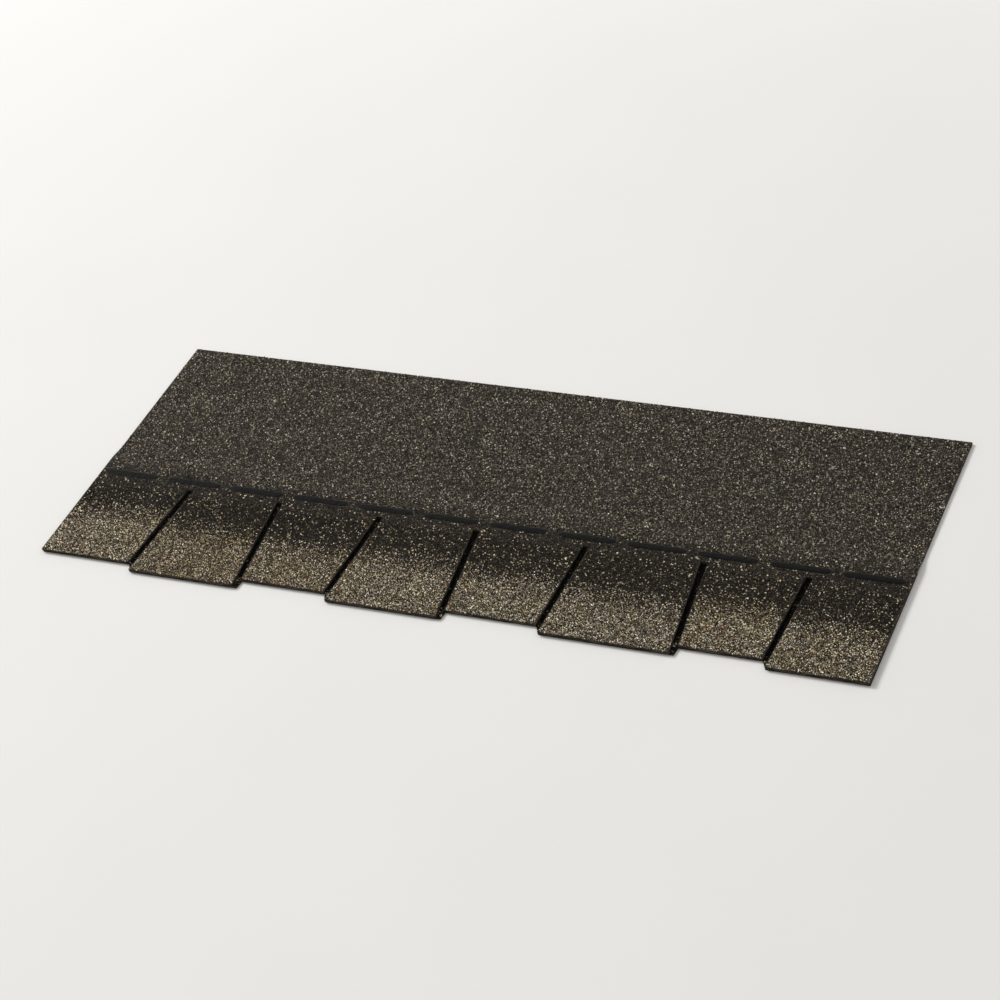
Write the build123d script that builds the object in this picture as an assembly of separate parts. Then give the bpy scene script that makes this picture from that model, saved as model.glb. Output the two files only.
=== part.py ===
from build123d import *
import os

# Laminated field shingle for a roof: a strip of two asphalt plies, lying flat with its granules up.
# Millimetres. +X runs along the strip, +Y from the butts up to the headlap edge, +Z out of the
# granule face. The origin is the bottom centre of the bounding box.

# Strip
STRIP_LENGTH = 1016.0
STRIP_DEPTH = 431.8
EXPOSURE = 127.0

# Plies
UPPER_THICKNESS = 3.0
LOWER_THICKNESS = 2.6
LOWER_DEPTH = 190.5
LOWER_SETBACK = 1.5

# Butts: every second tab reaches further down than its neighbours.
BUTT_STAGGER = 12.5
CORNER_RADIUS = 0.8

# Slots between tabs, each as (centre at the mouth, centre at the top), measured from the left end.
# The long tabs flare towards their butts, so the slots lean by turns to either side.
SLOT_CENTRES = (
    (121.0, 128.5),
    (262.0, 250.5),
    (374.5, 380.0),
    (518.0, 505.0),
    (635.0, 639.0),
    (794.0, 782.0),
    (897.0, 903.0),
)
SLOT_MOUTH_WIDTH = 7.0
SLOT_TOP_WIDTH = 8.5
SLOT_HIDDEN_LENGTH = 15.0

# Lip of the lower ply beside each long tab, where it shows past the slot's mouth.
LIP_LENGTH = 4.5

# Drape: where the upper ply leaves the lower one and comes down to the floor.
DRAPE_RUN = 32.0

# Self-seal asphalt dashes on the granule face, just above the exposed part.
DASH_COUNT = 12
DASH_GAP = 14.0
DASH_WIDTH = 11.0
DASH_HEIGHT = 1.0
DASH_EDGE_BEVEL = 0.6
DASH_ABOVE_SLOTS = 8.0

# Release film on the back of the headlap, which keeps stacked strips from sealing together.
FILM_WIDTH = 38.0
FILM_THICKNESS = 0.15
FILM_FROM_HEAD = 132.0

# Places that follow from the sizes above
LEFT = -STRIP_LENGTH / 2
RIGHT = STRIP_LENGTH / 2
LONG_BUTT = -STRIP_DEPTH / 2
HEAD = STRIP_DEPTH / 2
SHORT_BUTT = LONG_BUTT + BUTT_STAGGER
SLOT_TOP = SHORT_BUTT + EXPOSURE + SLOT_HIDDEN_LENGTH
LOWER_HEAD = LONG_BUTT + LOWER_DEPTH
LAMINATE_TOP = LOWER_THICKNESS + UPPER_THICKNESS


def slot_edges(mouth, top, y):
    """Left and right edge of a slot at the height y, as x."""
    share = (y - SHORT_BUTT) / EXPOSURE
    centre = LEFT + mouth + (top - mouth) * share
    half = (SLOT_MOUTH_WIDTH + (SLOT_TOP_WIDTH - SLOT_MOUTH_WIDTH) * share) / 2
    return centre - half, centre + half


def is_long(tab):
    """The tabs alternate, and the first at the left end is a short one."""
    return tab % 2 == 1


def butt(tab):
    """Height of a tab's bottom edge."""
    return LONG_BUTT if is_long(tab) else SHORT_BUTT


def tab_outline():
    """Outline of the upper ply from above: butts, slots and headlap."""
    points = [(LEFT, butt(0))]
    for index, (mouth, top) in enumerate(SLOT_CENTRES):
        low_left, _ = slot_edges(mouth, top, butt(index))
        high_left, high_right = slot_edges(mouth, top, SLOT_TOP)
        _, low_right = slot_edges(mouth, top, butt(index + 1))
        points += [(low_left, butt(index)), (high_left, SLOT_TOP)]
        points += [(high_right, SLOT_TOP), (low_right, butt(index + 1))]
    points += [(RIGHT, butt(len(SLOT_CENTRES))), (RIGHT, HEAD), (LEFT, HEAD)]
    return points


def lower_outline():
    """Outline of the lower ply from above: its front edge steps with the butts over it."""
    points = [(LEFT, butt(0) + LOWER_SETBACK)]
    for index, (mouth, top) in enumerate(SLOT_CENTRES):
        left, _ = slot_edges(mouth, top, butt(index))
        _, right = slot_edges(mouth, top, butt(index + 1))
        reach = LIP_LENGTH if is_long(index) else 0.0
        points += [(left + reach, butt(index) + LOWER_SETBACK)]
        points += [(right, butt(index + 1) + LOWER_SETBACK)]
    points += [(RIGHT, butt(len(SLOT_CENTRES)) + LOWER_SETBACK)]
    points += [(RIGHT, LOWER_HEAD), (LEFT, LOWER_HEAD)]
    return points


def drape_section():
    """Section of the upper ply along +Y: level over the lower ply, an S down to the film, level."""
    over = LOWER_THICKNESS
    down = FILM_THICKNESS
    foot = LOWER_HEAD + DRAPE_RUN
    halfway = (LOWER_HEAD + DRAPE_RUN / 2, (over + down) / 2)
    with BuildSketch(Plane.YZ) as section:
        with BuildLine():
            Line((LONG_BUTT, over), (LOWER_HEAD, over))
            TangentArc((LOWER_HEAD, over), halfway, tangent=(1, 0))
            TangentArc((foot, down), halfway, tangent=(-1, 0))
            Line((foot, down), (HEAD, down))
            offset(amount=UPPER_THICKNESS, side=Side.LEFT)
        make_face()
    return section.sketch


def prism(points, height):
    """Flat plate with the given outline, its corners eased by the die that cuts it."""
    with BuildPart() as plate:
        with BuildSketch():
            Polygon(*points, align=None)
            fillet([v for v in vertices() if v.Y < LOWER_HEAD - CORNER_RADIUS], CORNER_RADIUS)
        extrude(amount=height)
    return plate.part


def upper_ply():
    """The slotted ply that carries the tabs and the headlap."""
    sheet = extrude(drape_section(), amount=STRIP_LENGTH / 2, both=True)
    return sheet & prism(tab_outline(), LAMINATE_TOP)


def lower_ply():
    """The plain ply under the tabs, which closes the slots from behind."""
    return prism(lower_outline(), LOWER_THICKNESS)


def sealant_dash(index):
    """One bead of the broken line of sealant, a flat pad with rounded ends and a sloped edge."""
    pitch = STRIP_LENGTH / DASH_COUNT
    x = LEFT + pitch * (index + 0.5)
    y = SLOT_TOP + DASH_ABOVE_SLOTS + DASH_WIDTH / 2
    with BuildPart() as dash:
        with BuildSketch(Plane((x, y, LAMINATE_TOP))):
            SlotOverall(pitch - DASH_GAP, DASH_WIDTH)
        extrude(amount=DASH_HEIGHT)
        chamfer(dash.faces().sort_by(Axis.Z)[-1].edges(), DASH_EDGE_BEVEL)
    return dash.part


def release_film():
    """The strip of film stuck along the back of the headlap."""
    centre = HEAD - FILM_FROM_HEAD + FILM_WIDTH / 2
    film = Box(STRIP_LENGTH, FILM_WIDTH, FILM_THICKNESS)
    return Pos(0, centre, FILM_THICKNESS / 2) * film


def main():
    """Write one STEP file for each piece."""
    pieces = {
        "upper_ply": upper_ply(),
        "lower_ply": lower_ply(),
        "release_film": release_film(),
    }
    for index in range(DASH_COUNT):
        pieces[f"sealant_dash_{index + 1:02d}"] = sealant_dash(index)
    os.makedirs("parts", exist_ok=True)
    for name, piece in pieces.items():
        piece.label = name
        export_step(piece, f"parts/{name}.step")


main()
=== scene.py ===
"""Dresses a laminated roofing shingle: stone granules, asphalt, sealant and film on a plain floor."""

import logging
from collections.abc import Mapping, Sequence
from dataclasses import dataclass
from enum import Enum
from math import cos, pi, radians, sin

import bpy
import numpy as np
from mathutils import Matrix, Vector


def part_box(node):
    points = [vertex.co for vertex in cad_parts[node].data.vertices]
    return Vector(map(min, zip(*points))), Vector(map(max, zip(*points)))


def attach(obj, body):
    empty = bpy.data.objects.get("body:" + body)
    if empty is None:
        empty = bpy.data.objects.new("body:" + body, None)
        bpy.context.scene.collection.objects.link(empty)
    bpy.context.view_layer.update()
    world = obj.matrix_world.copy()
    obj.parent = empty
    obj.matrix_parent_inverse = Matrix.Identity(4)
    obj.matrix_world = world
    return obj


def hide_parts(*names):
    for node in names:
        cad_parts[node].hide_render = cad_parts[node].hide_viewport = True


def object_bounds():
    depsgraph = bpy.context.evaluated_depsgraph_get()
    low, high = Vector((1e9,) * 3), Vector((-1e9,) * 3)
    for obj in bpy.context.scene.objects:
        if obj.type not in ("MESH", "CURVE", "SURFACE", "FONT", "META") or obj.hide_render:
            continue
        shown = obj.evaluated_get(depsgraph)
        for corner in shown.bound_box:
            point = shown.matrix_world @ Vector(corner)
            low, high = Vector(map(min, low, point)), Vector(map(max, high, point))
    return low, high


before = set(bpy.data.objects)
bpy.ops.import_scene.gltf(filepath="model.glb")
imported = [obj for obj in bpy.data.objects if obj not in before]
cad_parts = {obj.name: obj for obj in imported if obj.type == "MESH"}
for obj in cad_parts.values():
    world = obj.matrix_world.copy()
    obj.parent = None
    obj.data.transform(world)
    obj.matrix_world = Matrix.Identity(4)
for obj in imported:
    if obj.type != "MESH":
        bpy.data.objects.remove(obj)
CAD_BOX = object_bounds()

MM = 0.001
TINY = 1e-12
# Limits that sort the faces and edges of a ply. Lift is the z of a face's normal.
UPRIGHT_LIFT = 0.1
UPWARD_LIFT = 0.5
LEVEL_SLOPE = 0.01
LOG = logging.getLogger("shingle")

Colour = tuple[float, float, float, float]
Socket = bpy.types.NodeSocket
Tree = bpy.types.NodeTree


class Grade(Enum):
    """Which blend a granule comes from, as the number that its mesh carries."""

    GREY = 0.0
    BROWN = 1.0
    SHADOW = 2.0
    PLAIN = 3.0


def linear(hex_colour: str) -> Colour:
    """Turns an sRGB hex colour into the linear colour that shader sockets take.

    Args:
        hex_colour: The colour as "#rrggbb".

    Returns:
        Red, green and blue as linear light, and an alpha of 1.
    """
    channels = np.array([int(hex_colour[i:i + 2], 16) for i in (1, 3, 5)]) / 255
    low = channels / 12.92
    high = ((channels + 0.055) / 1.055) ** 2.4
    red, green, blue = np.where(channels <= 0.04045, low, high).tolist()
    return red, green, blue, 1.0


def per_size(millimetres: float) -> float:
    """Returns the texture scale at which one cell of a pattern is that many millimetres."""
    return 1 / (millimetres * MM)


def add_node(
    tree: Tree, kind: str, inputs: Mapping | None = None, stops: Sequence[tuple[float, str]] = (),
    **settings: object,
) -> bpy.types.Node:
    """Adds a shader node with its settings and links.

    Args:
        tree: The node tree that gets the node.
        kind: The node's type name.
        inputs: Values or output sockets, by input name or number.
        stops: Where each colour of a stepped ramp starts, and the colour, for a ramp node.
        **settings: Properties of the node itself.

    Returns:
        The new node.
    """
    node = tree.nodes.new(kind)
    for name, value in settings.items():
        setattr(node, name, value)
    for key, value in (inputs or {}).items():
        if isinstance(value, Socket):
            tree.links.new(value, node.inputs[key])
        else:
            node.inputs[key].default_value = value
    for index, (start, colour) in enumerate(stops):
        node.color_ramp.interpolation = "CONSTANT"
        elements = node.color_ramp.elements
        element = elements[index] if index < len(elements) else elements.new(start)
        element.position, element.color = start, linear(colour)
    return node


def seen_directly(tree: Tree) -> Socket:
    """Tells rays from the camera, a reflection or clear stuff from the rays that carry light.

    Args:
        tree: The node tree that gets the nodes.

    Returns:
        A socket that is 1 for what is seen and 0 for what lights.
    """
    rays = add_node(tree, "ShaderNodeLightPath").outputs
    seen = rays["Is Camera Ray"]
    for kind in ("Is Glossy Ray", "Is Transmission Ray"):
        seen = add_node(tree, "ShaderNodeMath", {0: seen, 1: rays[kind]}, operation="MAXIMUM").outputs[0]
    return seen


def smooth_step(value: np.ndarray, low: float, high: float) -> np.ndarray:
    """Rises from 0 at low to 1 at high, as 3t^2 - 2t^3 with t the share of the way."""
    t = np.clip((value - low) / (high - low), 0, 1)
    return t * t * (3 - 2 * t)


class Finish:
    """A material that starts from an empty node tree. Each real finish is a frozen dataclass of it."""

    name: str

    def build(self) -> bpy.types.Material:
        """Makes the material, with its shader reading places on the object.

        Returns:
            The finished material.
        """
        material = bpy.data.materials.new(self.name)
        material.use_nodes = True
        tree = material.node_tree
        tree.nodes.clear()
        shader = self.surface(tree, add_node(tree, "ShaderNodeTexCoord").outputs["Object"])
        add_node(tree, "ShaderNodeOutputMaterial", {"Surface": shader.outputs[0]})
        return material

    def surface(self, tree: Tree, place: Socket) -> bpy.types.Node:
        """Adds the shader nodes.

        Args:
            tree: The material's node tree.
            place: Position on the object, in metres.

        Returns:
            The last shader node.
        """
        raise NotImplementedError


@dataclass(frozen=True)
class StoneBlend:
    """Colours of stone chips and the share that each has in the mix."""

    chips: tuple[tuple[str, float], ...]

    def stops(self) -> list[tuple[float, str]]:
        """Returns where each colour starts from 0 to 1, so that it is as wide as its share."""
        starts = np.cumsum([0.0] + [share for _, share in self.chips]).tolist()
        return [(start, colour) for start, (colour, _) in zip(starts, self.chips)]


BLENDS = {
    Grade.GREY: StoneBlend((
        ("#f9f2e0", 0.13), ("#dacfb5", 0.17), ("#a09477", 0.17), ("#6b614e", 0.16),
        ("#3d362d", 0.18), ("#1f1b17", 0.11), ("#85836c", 0.04), ("#7b7874", 0.04),
    )),
    Grade.BROWN: StoneBlend((
        ("#f4e7cc", 0.11), ("#cfba94", 0.17), ("#97825e", 0.19), ("#685740", 0.17),
        ("#3e3529", 0.18), ("#201b16", 0.10), ("#806550", 0.05), ("#78735a", 0.03),
    )),
    # The shadow band's blend: the darker granules that such strips have at the top of each exposure, made
    # darker still to stand for the shade that the next course casts there, so partly painted shade.
    Grade.SHADOW: StoneBlend((
        ("#0d0a07", 0.47), ("#19150f", 0.26), ("#2c2519", 0.13), ("#1b1d20", 0.04),
        ("#6e6149", 0.06), ("#e2d4b4", 0.04),
    )),
    Grade.PLAIN: StoneBlend((
        ("#1f1c18", 0.22), ("#3d372e", 0.23), ("#665d4d", 0.20), ("#948a76", 0.17),
        ("#bdb29e", 0.09), ("#4f545a", 0.05), ("#e2d9c6", 0.04),
    )),
}


@dataclass(frozen=True)
class GranuleFinish(Finish):
    """Crushed stone with a fired ceramic coat: matt chips, each of one colour, mixed from several kilns.

    To the eye it is a speckle of taupe, tan and grey, with single pale and dark chips in it. The light
    in slow patches leans to olive or to mauve, since the kilns' batches do not quite match.
    """

    name: str = "ceramic_coated_stone_granules"
    speck_mm: float = 0.35
    speck_depth: float = 0.2
    patch_mm: float = 24.0
    olive: Colour = (0.99, 1.01, 0.96, 1.0)
    mauve: Colour = (1.01, 0.99, 1.04, 1.0)
    roughness: float = 0.8
    gloss: float = 0.12
    relief_mm: float = 0.06

    def surface(self, tree: Tree, place: Socket) -> bpy.types.Node:
        """Adds the shader nodes, which read each chip's pick, grade and value from its mesh.

        Args:
            tree: The material's node tree.
            place: Position on the object, in metres.

        Returns:
            The last shader node.
        """
        pick, grade, value = (
            add_node(tree, "ShaderNodeAttribute", attribute_name=name).outputs["Fac"]
            for name in ("pick", "grade", "value")
        )
        stone = add_node(tree, "ShaderNodeValToRGB", {0: pick}, BLENDS[Grade.GREY].stops()).outputs[0]
        for below, above in zip(Grade, list(Grade)[1:]):
            reached = add_node(
                tree, "ShaderNodeMath", {0: grade, 1: below.value}, operation="SUBTRACT", use_clamp=True,
            )
            chip = add_node(tree, "ShaderNodeValToRGB", {0: pick}, BLENDS[above].stops())
            stone = add_node(
                tree, "ShaderNodeMix", {0: reached.outputs[0], 6: stone, 7: chip.outputs[0]},
                data_type="RGBA",
            ).outputs[2]
        specks = add_node(
            tree, "ShaderNodeTexNoise",
            {"Vector": place, "Scale": per_size(self.speck_mm), "Detail": 2.0, "Roughness": 0.6},
        )
        grain = add_node(
            tree, "ShaderNodeMapRange",
            {
                "Value": specks.outputs["Fac"], "From Min": 0.3, "From Max": 0.7,
                "To Min": 1 - self.speck_depth, "To Max": 1 + self.speck_depth,
            },
        )
        light_share = add_node(
            tree, "ShaderNodeMath", {0: value, 1: grain.outputs[0]}, operation="MULTIPLY",
        )
        batches = add_node(
            tree, "ShaderNodeTexNoise", {"Vector": place, "Scale": per_size(self.patch_mm), "Detail": 3.0},
        )
        lean = add_node(
            tree, "ShaderNodeMapRange",
            {"Value": batches.outputs["Fac"], "From Min": 0.35, "From Max": 0.65},
        )
        tint = add_node(
            tree, "ShaderNodeMix", {0: lean.outputs[0], 6: self.olive, 7: self.mauve}, data_type="RGBA",
        )
        tinted = add_node(
            tree, "ShaderNodeVectorMath", {0: stone, 1: tint.outputs[2]}, operation="MULTIPLY",
        )
        colour = add_node(
            tree, "ShaderNodeVectorMath", {0: tinted.outputs[0], "Scale": light_share.outputs[0]},
            operation="SCALE",
        )
        bump = add_node(
            tree, "ShaderNodeBump",
            {"Height": specks.outputs["Fac"], "Distance": self.relief_mm * MM, "Strength": 0.8},
        )
        return add_node(
            tree, "ShaderNodeBsdfPrincipled",
            {
                "Base Color": colour.outputs[0], "Roughness": self.roughness,
                "Specular IOR Level": self.gloss, "Normal": bump.outputs[0],
            },
        )


@dataclass(frozen=True)
class CoatedSheetFinish(Finish):
    """Glass mat soaked and coated with filled, oxidised asphalt.

    Above, it is black between the granules and dusted with stone fines. The die-cut edge shows the
    mat as faint pale lines, and the back is dulled by pressed sand. Fines and sand are drawn coarser
    than the real ones, so that they show.
    """

    name: str = "filled_asphalt_on_glass_mat"
    asphalt: str = "#15110d"
    fines: StoneBlend = StoneBlend((
        ("#14110e", 0.46), ("#241f19", 0.26), ("#3b342a", 0.16), ("#574d3e", 0.08), ("#7a6f5d", 0.04),
    ))
    fines_mm: float = 0.9
    mat: str = "#62594c"
    mat_layer_mm: float = 0.7
    sand: str = "#57534c"
    sand_mm: float = 0.5
    sand_patch_mm: float = 45.0
    relief_mm: float = 0.25
    roughness: float = 0.7
    gloss: float = 0.15

    def surface(self, tree: Tree, place: Socket) -> bpy.types.Node:
        """Adds the shader nodes, which tell top, edge and back apart by the way the face looks.

        Args:
            tree: The material's node tree.
            place: Position on the object, in metres.

        Returns:
            The last shader node.
        """
        normal = add_node(tree, "ShaderNodeNewGeometry").outputs["True Normal"]
        upwards = add_node(tree, "ShaderNodeSeparateXYZ", {0: normal}).outputs["Z"]
        is_top = add_node(tree, "ShaderNodeMath", {0: upwards, 1: 0.5}, operation="GREATER_THAN")
        is_back = add_node(tree, "ShaderNodeMath", {0: upwards, 1: -0.5}, operation="LESS_THAN")
        cells = add_node(
            tree, "ShaderNodeTexVoronoi",
            {"Vector": place, "Scale": per_size(self.fines_mm), "Randomness": 1.0},
        )
        cell = add_node(tree, "ShaderNodeSeparateXYZ", {0: cells.outputs["Color"]}).outputs["X"]
        fines = add_node(tree, "ShaderNodeValToRGB", {0: cell}, self.fines.stops())
        layers = add_node(
            tree, "ShaderNodeMapping", {"Vector": place, "Scale": (0.05, 0.05, 1.0)},
        )
        streaks = add_node(
            tree, "ShaderNodeTexNoise",
            {"Vector": layers.outputs[0], "Scale": per_size(self.mat_layer_mm), "Detail": 4.0},
        )
        cut = add_node(
            tree, "ShaderNodeMapRange",
            {"Value": streaks.outputs["Fac"], "From Min": 0.48, "From Max": 0.7},
        )
        edge = add_node(
            tree, "ShaderNodeMix", {0: cut.outputs[0], 6: linear(self.asphalt), 7: linear(self.mat)},
            data_type="RGBA",
        )
        sand = add_node(
            tree, "ShaderNodeTexNoise",
            {"Vector": place, "Scale": per_size(self.sand_mm), "Detail": 3.0, "Roughness": 0.7},
        )
        along = add_node(tree, "ShaderNodeMapping", {"Vector": place, "Scale": (0.25, 1.0, 1.0)})
        patches = add_node(
            tree, "ShaderNodeTexNoise",
            {"Vector": along.outputs[0], "Scale": per_size(self.sand_patch_mm), "Detail": 4.0},
        )
        least = add_node(
            tree, "ShaderNodeMapRange",
            {
                "Value": patches.outputs["Fac"], "From Min": 0.3, "From Max": 0.7,
                "To Min": 0.56, "To Max": 0.3,
            },
        )
        sanded = add_node(
            tree, "ShaderNodeMapRange",
            {"Value": sand.outputs["Fac"], "From Min": least.outputs[0], "From Max": 0.64},
        )
        back = add_node(
            tree, "ShaderNodeMix", {0: sanded.outputs[0], 6: linear(self.asphalt), 7: linear(self.sand)},
            data_type="RGBA",
        )
        upper = add_node(
            tree, "ShaderNodeMix", {0: is_top.outputs[0], 6: edge.outputs[2], 7: fines.outputs[0]},
            data_type="RGBA",
        )
        colour = add_node(
            tree, "ShaderNodeMix", {0: is_back.outputs[0], 6: upper.outputs[2], 7: back.outputs[2]},
            data_type="RGBA",
        )
        relief = add_node(
            tree, "ShaderNodeMath", {0: cells.outputs["Distance"], 1: sand.outputs["Fac"]},
            operation="SUBTRACT",
        )
        bump = add_node(
            tree, "ShaderNodeBump",
            {"Height": relief.outputs[0], "Distance": self.relief_mm * MM, "Strength": 0.7},
        )
        return add_node(
            tree, "ShaderNodeBsdfPrincipled",
            {
                "Base Color": colour.outputs[2], "Roughness": self.roughness,
                "Specular IOR Level": self.gloss, "Normal": bump.outputs[0],
            },
        )


@dataclass(frozen=True)
class SealantFinish(Finish):
    """Polymer-modified asphalt, laid hot.

    To the eye it is black, with a dull gloss, soft ripples and some dust, which is drawn coarser than
    it is, so that it shows.
    """

    name: str = "polymer_modified_asphalt"
    colour: str = "#090808"
    dust: str = "#453f36"
    ripple_mm: float = 4.0
    ripple_depth_mm: float = 1.2
    dust_mm: float = 1.1
    roughness: tuple[float, float] = (0.4, 0.8)
    gloss: float = 0.05

    def surface(self, tree: Tree, place: Socket) -> bpy.types.Node:
        """Adds the shader nodes.

        Args:
            tree: The material's node tree.
            place: Position on the object, in metres.

        Returns:
            The last shader node.
        """
        ripples = add_node(
            tree, "ShaderNodeTexNoise",
            {"Vector": place, "Scale": per_size(self.ripple_mm), "Detail": 2.0},
        )
        dust = add_node(
            tree, "ShaderNodeTexNoise",
            {"Vector": place, "Scale": per_size(self.dust_mm), "Detail": 5.0, "Roughness": 0.7},
        )
        dusty = add_node(
            tree, "ShaderNodeMapRange", {"Value": dust.outputs["Fac"], "From Min": 0.58, "From Max": 0.74},
        )
        colour = add_node(
            tree, "ShaderNodeMix", {0: dusty.outputs[0], 6: linear(self.colour), 7: linear(self.dust)},
            data_type="RGBA",
        )
        rough = add_node(
            tree, "ShaderNodeMapRange",
            {"Value": dusty.outputs[0], "To Min": self.roughness[0], "To Max": self.roughness[1]},
        )
        bump = add_node(
            tree, "ShaderNodeBump",
            {"Height": ripples.outputs["Fac"], "Distance": self.ripple_depth_mm * MM, "Strength": 0.7},
        )
        return add_node(
            tree, "ShaderNodeBsdfPrincipled",
            {
                "Base Color": colour.outputs[2], "Roughness": rough.outputs[0],
                "Specular IOR Level": self.gloss, "Normal": bump.outputs[0],
            },
        )


@dataclass(frozen=True)
class FilmFinish(Finish):
    """Thin polyester film, drawn smooth: silvery grey, glossy, with fine lengthwise wrinkles."""

    name: str = "polyester_release_film"
    colour: str = "#b9bcbd"
    wrinkle_mm: float = 4.0
    relief_mm: float = 0.2
    roughness: float = 0.22

    def surface(self, tree: Tree, place: Socket) -> bpy.types.Node:
        """Adds the shader nodes.

        Args:
            tree: The material's node tree.
            place: Position on the object, in metres.

        Returns:
            The last shader node.
        """
        along = add_node(tree, "ShaderNodeMapping", {"Vector": place, "Scale": (0.15, 1.0, 1.0)})
        wrinkles = add_node(
            tree, "ShaderNodeTexNoise",
            {"Vector": along.outputs[0], "Scale": per_size(self.wrinkle_mm), "Detail": 3.0},
        )
        # The film's colour is darker in the wrinkles' troughs, by the same noise that gives their bump:
        # painted shade.
        shade = add_node(
            tree, "ShaderNodeMapRange", {"Value": wrinkles.outputs["Fac"], "To Min": 0.85, "To Max": 1.05},
        )
        colour = add_node(
            tree, "ShaderNodeVectorMath", {0: linear(self.colour)[:3], "Scale": shade.outputs[0]},
            operation="SCALE",
        )
        bump = add_node(
            tree, "ShaderNodeBump",
            {"Height": wrinkles.outputs["Fac"], "Distance": self.relief_mm * MM, "Strength": 0.4},
        )
        return add_node(
            tree, "ShaderNodeBsdfPrincipled",
            {"Base Color": colour.outputs[0], "Roughness": self.roughness, "Normal": bump.outputs[0]},
        )


@dataclass(frozen=True)
class FloorFinish(Finish):
    """Pale matt screed with a faint mottle, which goes over into white away from the object."""

    name: str = "pale_matt_screed"
    colour: str = "#eceae6"
    mottle_mm: float = 300.0
    fade: tuple[float, float] = (0.8, 2.8)

    def surface(self, tree: Tree, place: Socket) -> bpy.types.Node:
        """Adds the shader nodes.

        Args:
            tree: The material's node tree.
            place: Position on the floor, in metres.

        Returns:
            The last shader node.
        """
        mottle = add_node(
            tree, "ShaderNodeTexNoise", {"Vector": place, "Scale": per_size(self.mottle_mm), "Detail": 3.0},
        )
        shade = add_node(
            tree, "ShaderNodeMapRange", {"Value": mottle.outputs["Fac"], "To Min": 0.98, "To Max": 1.02},
        )
        colour = add_node(
            tree, "ShaderNodeVectorMath", {0: linear(self.colour)[:3], "Scale": shade.outputs[0]},
            operation="SCALE",
        )
        matt = add_node(
            tree, "ShaderNodeBsdfPrincipled",
            {"Base Color": colour.outputs[0], "Roughness": 0.9, "Specular IOR Level": 0.2},
        )
        white = add_node(tree, "ShaderNodeEmission", {"Color": (1, 1, 1, 1), "Strength": 1.0})
        away = add_node(tree, "ShaderNodeVectorMath", {0: place}, operation="LENGTH")
        far = add_node(
            tree, "ShaderNodeMapRange",
            {"Value": away.outputs["Value"], "From Min": self.fade[0], "From Max": self.fade[1]},
            interpolation_type="SMOOTHSTEP",
        )
        share = add_node(
            tree, "ShaderNodeMath", {0: far.outputs[0], 1: seen_directly(tree)}, operation="MULTIPLY",
        )
        return add_node(
            tree, "ShaderNodeMixShader", {0: share.outputs[0], 1: matt.outputs[0], 2: white.outputs[0]},
        )


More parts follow.
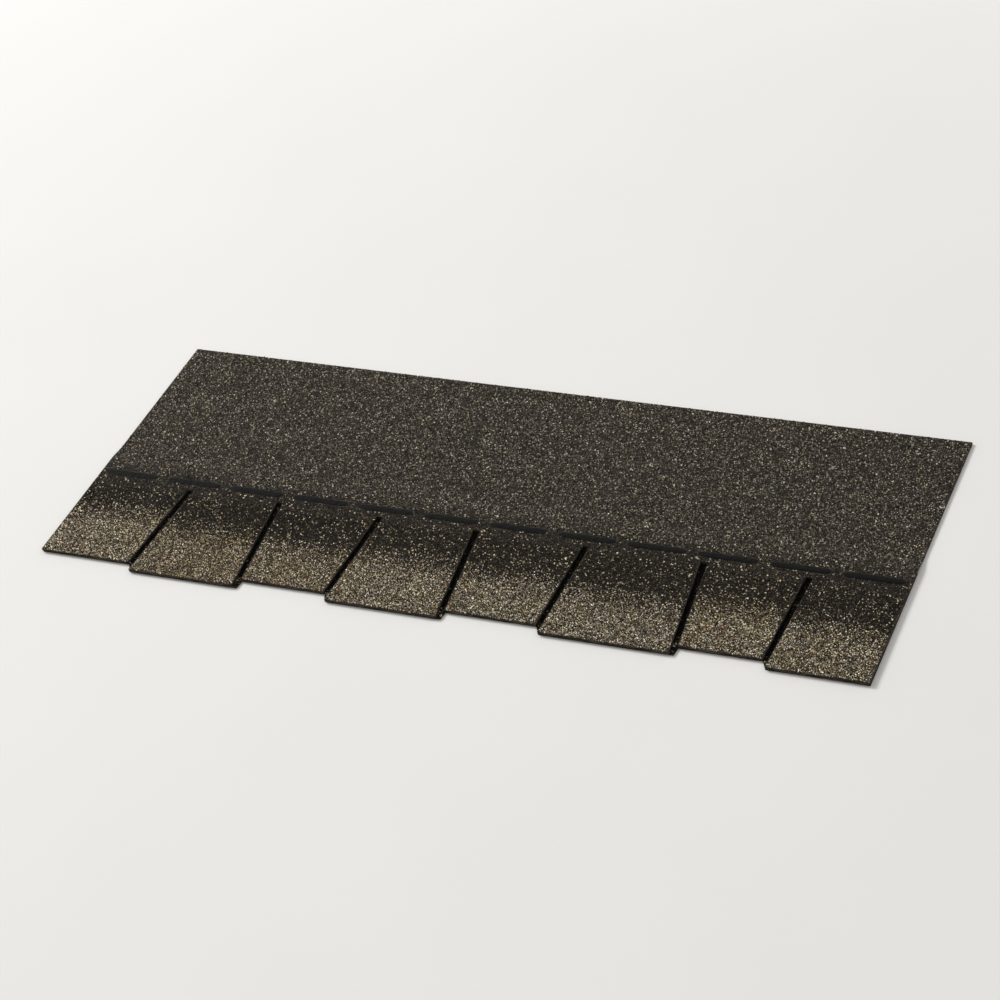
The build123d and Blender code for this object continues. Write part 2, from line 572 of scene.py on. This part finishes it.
@dataclass(frozen=True)
class SheetPlan:
    """A ply of the frame seen from above: its upper faces and the lines of its cut edges, in metres."""

    faces: np.ndarray
    edges: np.ndarray
    heights: np.ndarray

    @classmethod
    def of_node(cls, name: str) -> "SheetPlan":
        """Reads a ply from the frame.

        Args:
            name: The node's name.

        Returns:
            The plan, with faces as triangles of places, edges as pairs of points in plan, and heights
            as rows of a y and the sheet's upper height there.
        """
        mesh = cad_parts[name].data
        mesh.calc_loop_triangles()
        places = np.empty(len(mesh.vertices) * 3, np.float32)
        mesh.vertices.foreach_get("co", places)
        corners = np.empty(len(mesh.loop_triangles) * 3, np.int32)
        mesh.loop_triangles.foreach_get("vertices", corners)
        triangles = places.reshape(-1, 3)[corners.reshape(-1, 3)].astype(float)
        normals = np.cross(triangles[:, 1] - triangles[:, 0], triangles[:, 2] - triangles[:, 0])
        lift = normals[:, 2] / np.linalg.norm(normals, axis=1).clip(TINY)
        sides = triangles[np.abs(lift) < UPRIGHT_LIFT][:, :, :2]
        spans = np.stack([sides, np.roll(sides, -1, axis=1)], axis=2)
        longest = np.linalg.norm(spans[:, :, 1] - spans[:, :, 0], axis=2).argmax(axis=1)
        edges = np.unique(spans[np.arange(len(spans)), longest].round(6).reshape(-1, 4), axis=0)
        faces = triangles[lift > UPWARD_LIFT]
        top = faces.reshape(-1, 3)
        levels, at = np.unique(top[:, 1].round(5), return_inverse=True)
        upper = np.full(len(levels), -1.0)
        np.maximum.at(upper, at, top[:, 2])
        return cls(faces, edges.reshape(-1, 2, 2), np.stack([levels, upper], axis=1))

    def covers(self, points: np.ndarray) -> np.ndarray:
        """Says which points in plan lie on the ply: on the same side of all three sides of a face.

        Args:
            points: Places in plan, one a row.

        Returns:
            True for each point that lies on an upper face.
        """
        found = np.zeros(len(points), bool)
        for a, b, c in self.faces[:, :, :2]:
            low, high = np.minimum(np.minimum(a, b), c), np.maximum(np.maximum(a, b), c)
            near = np.flatnonzero(((points >= low) & (points <= high)).all(axis=1) & ~found)
            signs = np.stack([
                (q[0] - p[0]) * (points[near, 1] - p[1]) - (q[1] - p[1]) * (points[near, 0] - p[0])
                for p, q in ((a, b), (b, c), (c, a))
            ])
            found[near] = (signs >= 0).all(axis=0) | (signs <= 0).all(axis=0)
        return found

    def edge_distance(self, points: np.ndarray, level_ease: float = 0.0) -> np.ndarray:
        """Measures how far each point in plan is from the nearest cut edge.

        Args:
            points: Places in plan, one a row.
            level_ease: What is added to the distance from an edge that runs along the strip, in metres.

        Returns:
            The distances, from each point to its foot on the nearest edge.
        """
        nearest = np.full(len(points), np.inf)
        for start, end in self.edges:
            along = end - start
            length = max(float(along @ along), TINY)
            share = np.clip((points - start) @ along / length, 0, 1)
            away = np.linalg.norm(points - start - share[:, None] * along, axis=1)
            is_level = abs(along[1]) < LEVEL_SLOPE * abs(along[0])
            nearest = np.minimum(nearest, away + (level_ease if is_level else 0.0))
        return nearest

    def height(self, y: np.ndarray) -> np.ndarray:
        """Returns the upper height of the sheet at each y, in a straight line between its levels."""
        return np.interp(y, self.heights[:, 0], self.heights[:, 1])

    def crossings(self, y: float) -> np.ndarray:
        """Finds where cut edges cross a level line, by the share of each edge below it.

        Args:
            y: Height of the line up the strip, in metres.

        Returns:
            Each x of a crossing, from left to right.
        """
        low, high = self.edges[:, 0], self.edges[:, 1]
        crossed = (low[:, 1] > y) != (high[:, 1] > y)
        low, high = low[crossed], high[crossed]
        share = (y - low[:, 1]) / (high[:, 1] - low[:, 1])
        return np.unique((low[:, 0] + share * (high[:, 0] - low[:, 0])).round(5))


@dataclass(frozen=True)
class StripLayout:
    """Where the tabs, the slots and the shadow band lie on the strip, worked out from the plies."""

    upper: SheetPlan
    lower: SheetPlan
    low_line: float
    high_line: float
    low_slots: np.ndarray
    high_slots: np.ndarray
    short_butt: float
    exposed_top: float
    sealant_low: float
    stagger_mm: float = 12.5
    exposed_mm: float = 143.0
    # Where the band of dark chips begins and ends above the short butts, and how dark it gets: partly a
    # real granule band, partly painted shade from the next course.
    fade_from_mm: float = 40.0
    fade_to_mm: float = 100.0
    shadow_share: float = 0.97

    @classmethod
    def from_frame(cls, near_butt_mm: float = 20.0, near_top_mm: float = 120.0) -> "StripLayout":
        """Reads both plies and finds the middle line of each slot.

        Args:
            near_butt_mm: Height above the lowest butt at which the slots are first measured.
            near_top_mm: Height at which they are measured again.

        Returns:
            The layout.
        """
        upper, lower = SheetPlan.of_node("upper_ply"), SheetPlan.of_node("lower_ply")
        butt = CAD_BOX[0][1]
        lines = butt + near_butt_mm * MM, butt + near_top_mm * MM
        middles = [upper.crossings(line)[1:-1].reshape(-1, 2).mean(axis=1) for line in lines]
        return cls(
            upper, lower, *lines, *middles, short_butt=butt + cls.stagger_mm * MM,
            exposed_top=butt + cls.exposed_mm * MM, sealant_low=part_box(sealant_dashes()[0])[0].y,
        )

    def tab(self, points: np.ndarray) -> np.ndarray:
        """Counts the slots to the left of each point, by the middle line of each slot at its height.

        Args:
            points: Places in plan, one a row.

        Returns:
            The number of each point's tab, from 0.
        """
        share = (points[:, 1] - self.low_line) / (self.high_line - self.low_line)
        middles = self.low_slots + share[:, None] * (self.high_slots - self.low_slots)
        return (points[:, :1] > middles).sum(axis=1)

    def shadow(self, y: np.ndarray, shift_mm: np.ndarray | float = 0.0) -> np.ndarray:
        """Works out the share of dark chips, which rises in a band below the next course's butts.

        The band is partly the darker granules that such strips have there, and partly painted shade:
        its place and darkness follow the shade that the next course's butts cast.

        Args:
            y: Places up the strip, in metres.
            shift_mm: How much higher the band begins there.

        Returns:
            The share at each place.
        """
        above = (y - self.short_butt) / MM - shift_mm
        return self.shadow_share * smooth_step(above, self.fade_from_mm, self.fade_to_mm)


@dataclass(frozen=True)
class ChipForm:
    """The shape of a crushed stone chip before chance changes it, about one radius wide each way."""

    corners: np.ndarray
    faces: np.ndarray

    @classmethod
    def crushed(cls, half_height: float = 0.45, crown_size: float = 0.75) -> "ChipForm":
        """Makes the form with eight faces: six corners on two rings, as a squat antiprism.

        Args:
            half_height: Height of the crown, and depth of the base, in radii of the base.
            crown_size: Radius of the upper ring, in radii of the base.

        Returns:
            The form.
        """
        lower = np.arange(3) * 2 * pi / 3
        upper = lower + pi / 3
        base = np.stack([np.cos(lower), np.sin(lower), np.full(3, -half_height)], axis=1)
        crown = np.stack(
            [crown_size * np.cos(upper), crown_size * np.sin(upper), np.full(3, half_height)], axis=1,
        )
        rising = [(i, (i + 1) % 3, 3 + i) for i in range(3)]
        falling = [(3 + i, (i + 1) % 3, 3 + (i + 1) % 3) for i in range(3)]
        return cls(np.concatenate([base, crown]), np.array([(2, 1, 0), (3, 4, 5), *rising, *falling]))

    @classmethod
    def splinter(
        cls, depth: float = 0.2, peak: tuple[float, float, float] = (0.12, 0.08, 0.6),
    ) -> "ChipForm":
        """Makes the form with four faces: three corners below and one above, as a low pyramid.

        Args:
            depth: Depth of the lower ring, in radii of the ring.
            peak: Place of the upper corner, in radii of the ring.

        Returns:
            The form.
        """
        turn = np.arange(3) * 2 * pi / 3
        ring = np.stack([np.cos(turn), np.sin(turn), np.full(3, -depth)], axis=1)
        corners = np.concatenate([ring, [peak]])
        return cls(corners, np.array([(2, 1, 0), *((i, (i + 1) % 3, 3) for i in range(3))]))


@dataclass
class GranuleBed:
    """Chips pressed into one part of the sheet, as one mesh.

    They are drawn coarser than most real ones, 1.4 mm and more across, with fewer of them to match,
    so that they show and the mesh stays light. Pale chips in the shadow band are a little larger, since
    the eye sees them so against the dark.
    """

    name: str
    centres: np.ndarray
    grades: np.ndarray
    tone: float | np.ndarray
    form: ChipForm
    mean_mm: float = 0.72
    range_share: tuple[float, float] = (0.6, 1.6)
    size_spread: float = 0.28
    value_spread: float = 0.36
    value_range: tuple[float, float] = (0.3, 1.7)
    stretch: tuple[tuple[float, float], ...] = ((0.85, 1.2), (0.7, 1.0), (0.9, 1.5))
    tilt_degrees: float = 26.0
    jitter: float = 0.16
    sink: float = 0.12
    pale_from: float = 0.9
    pale_size: float = 1.18

    def places(self, rng: np.random.Generator, pick: np.ndarray) -> np.ndarray:
        """Works out the corners of every chip.

        Each corner is the form's own, moved a little at random, stretched by the chip's radius and
        flatness, tilted about a level line, turned about the upright, and moved to its centre.

        Args:
            rng: The source of chance.
            pick: Where each chip falls in its blend, from 0 to 1.

        Returns:
            One row of x, y and z for each corner, chip after chip.
        """
        count, corners = len(self.centres), self.form.corners
        pale = (self.grades == Grade.SHADOW.value) & (pick > self.pale_from)
        radius = self.mean_mm * MM * np.clip(rng.lognormal(0, self.size_spread, count), *self.range_share)
        radius = radius * np.where(pale, self.pale_size, 1.0)
        stretch = np.stack([rng.uniform(*span, count) for span in self.stretch], axis=1)
        shape = corners + rng.normal(0, self.jitter, (count, len(corners), 3))
        shape = shape * (radius[:, None] * stretch)[:, None, :]
        tilt = np.radians(rng.uniform(-self.tilt_degrees, self.tilt_degrees, count))
        turn = rng.uniform(0, 2 * pi, count)
        lean = np.zeros((count, 3, 3))
        lean[:, 0, 0] = 1
        lean[:, 1, 1] = lean[:, 2, 2] = np.cos(tilt)
        lean[:, 1, 2], lean[:, 2, 1] = -np.sin(tilt), np.sin(tilt)
        spin = np.zeros((count, 3, 3))
        spin[:, 0, 0] = spin[:, 1, 1] = np.cos(turn)
        spin[:, 0, 1], spin[:, 1, 0] = -np.sin(turn), np.sin(turn)
        spin[:, 2, 2] = 1
        placed = np.einsum("nij,nkj->nki", spin @ lean, shape) + self.centres[:, None, :]
        placed[:, :, 2] += (self.sink * radius)[:, None]
        low, high = np.array(CAD_BOX[0]), np.array(CAD_BOX[1])
        return np.clip(placed.reshape(-1, 3), low, high)

    def build(self, rng: np.random.Generator, material: bpy.types.Material) -> bpy.types.Object:
        """Makes the mesh, with a pick, a grade and a value on every face for the finish to read.

        Args:
            rng: The source of chance.
            material: The granules' finish.

        Returns:
            The new piece.
        """
        count, corners, faces = len(self.centres), len(self.form.corners), self.form.faces
        pick = rng.uniform(0, 1, count)
        places = self.places(rng, pick)
        indices = (faces[None] + corners * np.arange(count)[:, None, None]).reshape(-1)
        mesh = bpy.data.meshes.new(self.name)
        mesh.vertices.add(len(places))
        mesh.vertices.foreach_set("co", places.astype(np.float32).ravel())
        mesh.loops.add(len(indices))
        mesh.loops.foreach_set("vertex_index", indices.astype(np.int32))
        mesh.polygons.add(len(indices) // 3)
        mesh.polygons.foreach_set("loop_start", np.arange(0, len(indices), 3, dtype=np.int32))
        mesh.update(calc_edges=True)
        chip_values = {
            "pick": pick,
            "grade": self.grades,
            "value": self.tone * np.clip(rng.normal(1, self.value_spread, count), *self.value_range),
        }
        for attribute, values in chip_values.items():
            layer = mesh.attributes.new(attribute, "FLOAT", "FACE")
            layer.data.foreach_set("value", np.repeat(values, len(faces)).astype(np.float32))
        self.lay_map(mesh, places[indices])
        mesh.materials.append(material)
        mesh.validate()
        piece = bpy.data.objects.new(self.name, mesh)
        bpy.context.scene.collection.objects.link(piece)
        return piece

    @staticmethod
    def lay_map(mesh: bpy.types.Mesh, corners: np.ndarray) -> None:
        """Lays a flat map over the bed, as x and y from its low to its high corner.

        Args:
            mesh: The bed's mesh.
            corners: The place of each face's corner, in the mesh's order.
        """
        low, high = corners[:, :2].min(axis=0), corners[:, :2].max(axis=0)
        flat = (corners[:, :2] - low) / (high - low)
        mesh.uv_layers.new(name="OFBake").data.foreach_set("uv", flat.astype(np.float32).ravel())


@dataclass
class GranuleCover:
    """All the stone on the strip: on each tab, on the headlap, and on the floor of the slots."""

    layout: StripLayout
    finish: bpy.types.Material
    slot_shade_finish: bpy.types.Material
    seed: int = 11
    tab_pitch_mm: float = 1.4
    headlap_pitch_mm: float = 2.1
    slot_pitch_mm: float = 1.9
    headlap_beds: int = 3
    tab_margin_mm: float = 1.0
    butt_ease_mm: float = 0.75
    edge_margin_mm: float = 0.4
    tab_tones: tuple[float, ...] = (1.06, 0.92, 0.95, 1.02, 0.98, 0.93, 1.0, 0.96)
    tab_browns: tuple[float, ...] = (0.45, 0.75, 0.7, 0.4, 0.35, 0.3, 0.55, 0.45)
    band_shifts_mm: tuple[float, ...] = (14.0, 0.0, -3.0, 2.0, -3.0, -9.0, 3.0, -5.0)
    plain_by_mm: float = 30.0
    wander: float = 0.42
    batch_waves_mm: tuple[float, ...] = (45.0, 70.0, 120.0)
    batch_depth: float = 0.22
    headlap_chip_mm: float = 1.15
    headlap_range: tuple[float, float] = (0.6, 1.4)
    slot_chip_mm: float = 0.9
    # Chips on the slot floors are mostly dark and dimmed to a low tone: partly the dark stone under the
    # slots, partly painted shade in the narrow slots. The lips at the slots' mouths are lighter.
    slot_dark_share: float = 0.97
    slot_shade_tone: float = 0.12
    lip_mm: float = 12.0
    lip_light_share: float = 0.5
    lip_tone: float = 0.3

    def scatter(self, pitch_mm: float, rng: np.random.Generator) -> np.ndarray:
        """Strews points over the strip: a grid of staggered rows, each point moved inside its cell.

        Args:
            pitch_mm: Mean distance between neighbours.
            rng: The source of chance.

        Returns:
            Points in plan, one a row.
        """
        pitch = pitch_mm * MM
        low, high = (np.array(corner)[:2] for corner in CAD_BOX)
        step = np.array([pitch, pitch * 3 ** 0.5 / 2])
        columns, rows = np.ceil((high - low) / step).astype(int) + 1
        x, y = np.meshgrid(np.arange(columns), np.arange(rows))
        grid = np.stack([(x + 0.5 * (y % 2)).ravel(), y.ravel()], axis=1)
        return low + (grid + rng.uniform(-self.wander, self.wander, grid.shape)) * step

    def brownness(self, points: np.ndarray, rng: np.random.Generator) -> np.ndarray:
        """Works out the share of brown chips, as a mean for each tab plus slow waves over the strip.

        Args:
            points: Places in plan, one a row.
            rng: The source of chance.

        Returns:
            The share at each point, from 0 to 1.
        """
        means = np.array(self.tab_browns)[self.layout.tab(points)]
        waves = np.zeros(len(points))
        for length_mm in self.batch_waves_mm:
            heading, phase = rng.uniform(0, 2 * pi, 2)
            along = points @ np.array([cos(heading), sin(heading)])
            waves += np.sin(2 * pi * along / (length_mm * MM) + phase) / len(self.batch_waves_mm)
        return np.clip(means + self.batch_depth * waves, 0, 1)

    def grades(self, points: np.ndarray, shadow: np.ndarray, rng: np.random.Generator) -> np.ndarray:
        """Draws each chip's grade: shadow by its share, and otherwise brown or grey.

        Args:
            points: Places in plan, one a row.
            shadow: The share of dark chips at each point.
            rng: The source of chance.

        Returns:
            The number of each chip's grade.
        """
        brown = rng.uniform(size=len(points)) < self.brownness(points, rng)
        light = np.where(brown, Grade.BROWN.value, Grade.GREY.value)
        return np.where(rng.uniform(size=len(points)) < shadow, Grade.SHADOW.value, light)

    def on_surface(self, points: np.ndarray, plan: SheetPlan) -> np.ndarray:
        """Lifts points in plan onto a ply's upper face."""
        return np.column_stack([points, plan.height(points[:, 1])])

    def tabs(self) -> list[bpy.types.Object]:
        """Builds one bed of squat chips for each tab, nearer to the butts than to the slots.

        Returns:
            The beds, from left to right.
        """
        rng = np.random.default_rng(self.seed)
        layout, upper = self.layout, self.layout.upper
        points = self.scatter(self.tab_pitch_mm, rng)
        points = points[points[:, 1] < layout.exposed_top]
        points = points[upper.covers(points)]
        points = points[upper.edge_distance(points, self.butt_ease_mm * MM) > self.tab_margin_mm * MM]
        centres, tab = self.on_surface(points, upper), layout.tab(points)
        shadow = layout.shadow(points[:, 1], np.array(self.band_shifts_mm)[tab])
        grades = self.grades(points, shadow, rng)
        return [
            GranuleBed(
                f"granules_tab_{index + 1}", centres[tab == index], grades[tab == index],
                tone, ChipForm.crushed(),
            ).build(rng, self.finish)
            for index, tone in enumerate(self.tab_tones)
        ]

    def headlap(self) -> list[bpy.types.Object]:
        """Builds the beds of splinters above the exposed part, clear of the sealant.

        Returns:
            The beds, from left to right.
        """
        rng = np.random.default_rng(self.seed + 1)
        layout, upper = self.layout, self.layout.upper
        points = self.scatter(self.headlap_pitch_mm, rng)
        points = points[points[:, 1] >= layout.exposed_top]
        points = points[upper.covers(points) & ~self.under_sealant(points)]
        points = points[upper.edge_distance(points) > self.edge_margin_mm * MM]
        plain = smooth_step((points[:, 1] - layout.sealant_low) / MM, 0, self.plain_by_mm)
        grades = self.grades(points, layout.shadow(points[:, 1]), rng)
        grades[rng.uniform(size=len(points)) < plain] = Grade.PLAIN.value
        centres = self.on_surface(points, upper)
        low, high = CAD_BOX[0][0], CAD_BOX[1][0]
        third = np.clip((points[:, 0] - low) / (high - low) * self.headlap_beds, 0, self.headlap_beds - 1)
        third = third.astype(int)
        return [
            GranuleBed(
                f"granules_headlap_{index + 1}", centres[third == index], grades[third == index],
                1.0, ChipForm.splinter(), mean_mm=self.headlap_chip_mm, range_share=self.headlap_range,
            ).build(rng, self.finish)
            for index in range(self.headlap_beds)
        ]

    def under_sealant(self, points: np.ndarray) -> np.ndarray:
        """Says which points in plan lie under a dash of sealant, by the box of each dash.

        Args:
            points: Places in plan, one a row.

        Returns:
            True for each point under a dash.
        """
        covered = np.zeros(len(points), bool)
        for name in sealant_dashes():
            low, high = (np.array(corner)[:2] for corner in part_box(name))
            covered |= ((points > low) & (points < high)).all(axis=1)
        return covered

    def slots(self) -> bpy.types.Object:
        """Builds the bed of dark stone on the lower ply, where slots and lips leave it open.

        In the slots the chips are near black: partly the dark stone that such strips have under the
        slots, partly painted shade for the narrow slots.

        Returns:
            The bed, which is lighter on the lips.
        """
        rng = np.random.default_rng(self.seed + 2)
        layout = self.layout
        points = self.scatter(self.slot_pitch_mm, rng)
        points = points[points[:, 1] < layout.sealant_low]
        points = points[layout.lower.covers(points) & ~layout.upper.covers(points)]
        points = points[layout.upper.edge_distance(points) > self.edge_margin_mm * MM]
        lip = 1 - smooth_step((points[:, 1] - layout.short_butt) / MM, 0, self.lip_mm)
        grades = self.grades(points, self.slot_dark_share - self.lip_light_share * lip, rng)
        bed = GranuleBed(
            "granules_slots", self.on_surface(points, layout.lower), grades,
            self.slot_shade_tone + self.lip_tone * lip, ChipForm.crushed(), mean_mm=self.slot_chip_mm,
        )
        return bed.build(rng, self.slot_shade_finish)


def sealant_dashes() -> list[str]:
    """Returns the names of the sealant's nodes, from left to right."""
    return sorted(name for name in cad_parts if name.startswith("sealant_dash"))


@dataclass(frozen=True)
class SealantBead:
    """One dash of sealant as it was laid: a low dome with soft ends and an uneven edge."""

    node: str
    finish: bpy.types.Material
    seed: int
    columns: int = 49
    around: int = 14
    end_power: int = 8
    reach: float = 0.999
    edge_wave: float = 0.14
    top_wave: float = 0.4
    sway: float = 0.08
    wave_counts: tuple[float, ...] = (1.3, 3.1, 7.7)
    root_mm: float = 0.1

    def build(self) -> bpy.types.Object:
        """Carries a round profile along the dash.

        The profile is a flattened circle, cut off level a little below the sheet's face. Its width and
        height follow the cube root and the square root of 1 - u^8, with u from -1 to 1 along the dash.
        Waves of different lengths make both uneven and sway the middle line.

        Returns:
            The bead, which stands for its node.
        """
        rng = np.random.default_rng(self.seed)
        low, high = (np.array(corner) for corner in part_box(self.node))
        middle, half = (low + high) / 2, (high - low) / 2
        along = np.sin(np.linspace(-pi / 2, pi / 2, self.columns)) * self.reach
        waves = [self.waves(along, rng) for _ in range(3)]
        ends = 1 - along ** self.end_power
        width = half[1] * ends ** (1 / 3) * (1 - self.edge_wave * waves[0])
        rise = 2 * half[2] * ends ** (1 / 2) * (1 - self.top_wave * waves[1])
        turn = np.arange(self.around) * 2 * pi / self.around
        x = np.repeat(middle[0] + half[0] * along, self.around)
        y = (middle[1] + half[1] * self.sway * (waves[2] - 0.5))[:, None] + width[:, None] * np.cos(turn)
        z = low[2] + np.maximum(rise[:, None] * np.sin(turn), -self.root_mm * MM)
        ring = np.arange(self.around)
        start = np.arange(self.columns - 1)[:, None] * self.around
        quads = np.stack([start + ring, start + (ring + 1) % self.around], axis=2)
        quads = np.concatenate([quads, quads[:, :, ::-1] + self.around], axis=2).reshape(-1, 4)
        faces = [*quads.tolist(), ring[::-1].tolist(), (ring + len(x) - self.around).tolist()]
        mesh = bpy.data.meshes.new(self.node.replace("dash", "bead"))
        mesh.from_pydata(np.column_stack([x, y.ravel(), z.ravel()]).tolist(), [], faces)
        mesh.polygons.foreach_set("use_smooth", np.ones(len(mesh.polygons), bool))
        mesh.materials.append(self.finish)
        piece = bpy.data.objects.new(mesh.name, mesh)
        bpy.context.scene.collection.objects.link(piece)
        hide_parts(self.node)
        return piece

    def waves(self, along: np.ndarray, rng: np.random.Generator) -> np.ndarray:
        """Returns the mean of sine waves of random phase along the dash, from 0 to 1."""
        total = sum(np.sin(count * along * pi + rng.uniform(0, 2 * pi)) for count in self.wave_counts)
        return 0.5 + total / (2 * len(self.wave_counts))


@dataclass(frozen=True)
class CadDressing:
    """Gives the plies and the film of the frame their finishes."""

    def build(self) -> None:
        """Puts a finish into each node's own material slots."""
        # The lower ply shows only in the slots, and its fines are near black: partly the dark coat that
        # such strips have there, partly painted shade for the narrow slots.
        black = StoneBlend((("#080706", 0.7), ("#12100d", 0.3)))
        wears = {
            "upper_ply": CoatedSheetFinish().build(),
            "lower_ply": CoatedSheetFinish("filled_asphalt_under_slots_and_painted_shade", fines=black, gloss=0.03).build(),
            "release_film": FilmFinish().build(),
        }
        for name, material in wears.items():
            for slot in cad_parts[name].material_slots:
                slot.material = material
            LOG.info("%s wears %s", name, material.name)


@dataclass(frozen=True)
class Studio:
    """A plain pale floor, an even dome of light, one soft lamp and the camera."""

    azimuth: float = 27.5
    elevation: float = 37.1
    roll: float = 9.67
    distance: float = 3.38
    lens_mm: float = 104.07
    sensor_mm: float = 36.0
    floor_size: float = 60.0
    dome_strength: float = 0.55
    lamp_share: float = 0.45
    lamp_distance: float = 10.0
    lamp_size: float = 3.0
    lamp_from: tuple[float, float, float] = (-0.78, 0.2, 0.6)

    def build(self) -> None:
        """Builds everything round the object."""
        self.floor()
        self.dome()
        self.lamp()
        self.camera()
        bpy.context.scene.view_settings.view_transform = "Standard"

    def floor(self) -> None:
        """Lays one square face under the object."""
        half = self.floor_size / 2
        corners = [(-half, -half, 0), (half, -half, 0), (half, half, 0), (-half, half, 0)]
        mesh = bpy.data.meshes.new("floor")
        mesh.from_pydata(corners, [], [(0, 1, 2, 3)])
        mesh.materials.append(FloorFinish().build())
        floor = bpy.data.objects.new("floor", mesh)
        bpy.context.scene.collection.objects.link(floor)

    def dome(self) -> None:
        """Makes the world an even light, which the camera, glossy and clear rays see as white."""
        world = bpy.data.worlds.new("dome")
        bpy.context.scene.world = world
        world.use_nodes = True
        tree = world.node_tree
        tree.nodes.clear()
        strength = add_node(
            tree, "ShaderNodeMapRange",
            {"Value": seen_directly(tree), "To Min": self.dome_strength, "To Max": 1.0},
        )
        light = add_node(
            tree, "ShaderNodeBackground", {"Color": (1, 1, 1, 1), "Strength": strength.outputs[0]},
        )
        add_node(tree, "ShaderNodeOutputWorld", {"Surface": light.outputs[0]})

    def lamp(self) -> None:
        """Hangs one soft square lamp that adds its share of light to a level white surface."""
        towards = Vector(self.lamp_from).normalized()
        data = bpy.data.lights.new("soft_lamp", "AREA")
        data.size = self.lamp_size
        data.energy = self.lamp_share * pi * pi * self.lamp_distance ** 2 / towards.z
        lamp = bpy.data.objects.new("soft_lamp", data)
        lamp.location = towards * self.lamp_distance
        lamp.rotation_euler = towards.to_track_quat("Z", "Y").to_euler()
        bpy.context.scene.collection.objects.link(lamp)

    def camera(self) -> None:
        """Sets the camera where the photograph's is, turned as it is about its own view."""
        a, e, r = radians(self.azimuth), radians(self.elevation), radians(self.roll)
        back = Vector((sin(a) * cos(e), -cos(a) * cos(e), sin(e)))
        level = Vector((cos(a), sin(a), 0))
        upright = back.cross(level)
        right = level * cos(r) - upright * sin(r)
        up = upright * cos(r) + level * sin(r)
        low, high = Vector(CAD_BOX[0]), Vector(CAD_BOX[1])
        place = (low + high) / 2 + back * self.distance
        data = bpy.data.cameras.new("camera")
        data.lens, data.sensor_width = self.lens_mm, self.sensor_mm
        camera = bpy.data.objects.new("camera", data)
        camera.matrix_world = Matrix.Translation(place) @ Matrix((right, up, back)).transposed().to_4x4()
        bpy.context.scene.collection.objects.link(camera)
        bpy.context.scene.camera = camera


def main() -> None:
    """Builds the studio, dresses the frame and strews the stone."""
    logging.basicConfig(level=logging.INFO, format="%(name)s: %(message)s")
    Studio().build()
    CadDressing().build()
    sealant = SealantFinish().build()
    # The slots' chips get a near-black, less glossy finish: partly the dark stone under the slots, partly
    # painted shade for the narrow slots.
    slot_stone_and_shade = GranuleFinish("black_stone_granules_and_painted_shade", gloss=0.03).build()
    cover = GranuleCover(StripLayout.from_frame(), GranuleFinish().build(), slot_stone_and_shade)
    made = {
        "granule_surface": [*cover.tabs(), *cover.headlap()],
        "shadow_granules": [cover.slots()],
        "sealant": [
            SealantBead(node, sealant, seed).build() for seed, node in enumerate(sealant_dashes())
        ],
    }
    for slot, pieces in made.items():
        for piece in pieces:
            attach(piece, "root")
            LOG.info("%s has %d faces", piece.name, len(piece.data.polygons))


if __name__ == "__main__":
    main()
